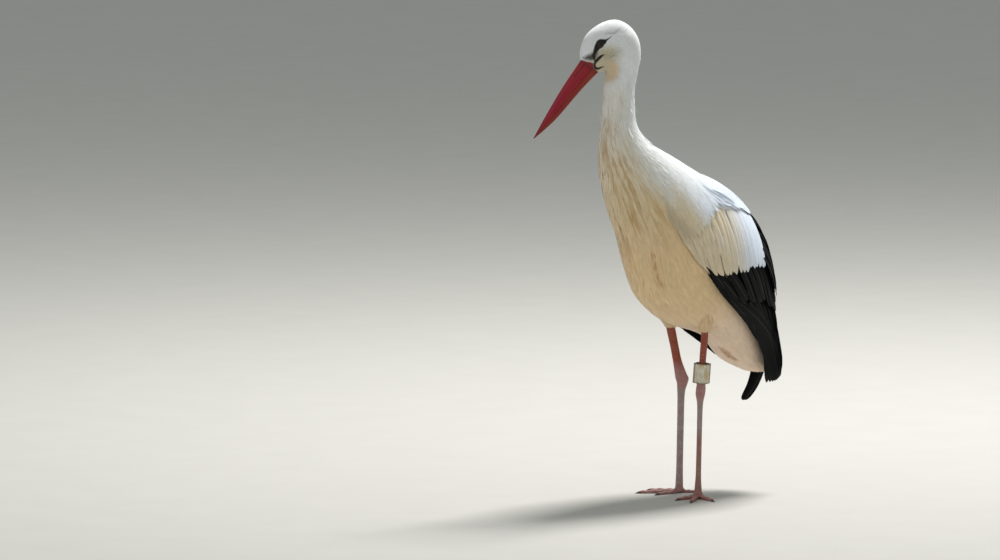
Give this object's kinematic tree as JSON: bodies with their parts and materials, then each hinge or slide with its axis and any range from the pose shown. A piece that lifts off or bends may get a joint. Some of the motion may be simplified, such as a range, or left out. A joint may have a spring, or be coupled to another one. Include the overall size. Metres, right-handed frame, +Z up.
{
  "type": "adult white stork figure",
  "caption": "Life-size standing white stork with a long tapered bill, turned head, drooping folded wings, slim legs with clawed feet, and a plain ring on one shin.",
  "frame": {"origin": "on the floor, under the middle of the bird's box", "axes": "+Z up, X towards the tail with the breast towards -X, +Y to the bird's right side; the head looks 33 degrees to its right"},
  "size_m": [0.4982, 0.2072, 0.8685],
  "materials": {
    "white_feathers": "warm white plumage, ochre stained on the breast and belly",
    "black_feathers": "black flight feathers with a slight gloss and paler shafts",
    "bill_horn": "deep red horn, satin, brown towards the lower half",
    "eye": "dark wet eye",
    "leg_skin": "scaly red skin, chalky lilac grey below the ankle",
    "claw_horn": "dull dark horn",
    "ring": "weathered cream white with darker rims, unmarked"
  },
  "bodies": {
    "root": {"head": "white_feathers", "neck": "white_feathers", "trunk": "white_feathers", "tail": "white_feathers", "thigh_left": "white_feathers", "thigh_right": "white_feathers", "wing_left_shield": "white_feathers", "wing_right_shield": "white_feathers", "wing_left_secondaries": "black_feathers", "wing_left_primaries": "black_feathers", "wing_right_secondaries": "black_feathers", "wing_right_primaries": "black_feathers", "bill_upper": "bill_horn", "bill_lower": "bill_horn", "eye_left": "eye", "eye_right": "eye", "shank_left": "leg_skin", "shank_right": "leg_skin", "tarsus_left": "leg_skin", "tarsus_right": "leg_skin", "foot_left": "leg_skin", "foot_right": "leg_skin", "claw_left_middle": "claw_horn", "claw_left_inner": "claw_horn", "claw_left_outer": "claw_horn", "claw_left_hind": "claw_horn", "claw_right_middle": "claw_horn", "claw_right_inner": "claw_horn", "claw_right_outer": "claw_horn", "claw_right_hind": "claw_horn", "leg_ring": "ring"}
  },
  "joints": []
}
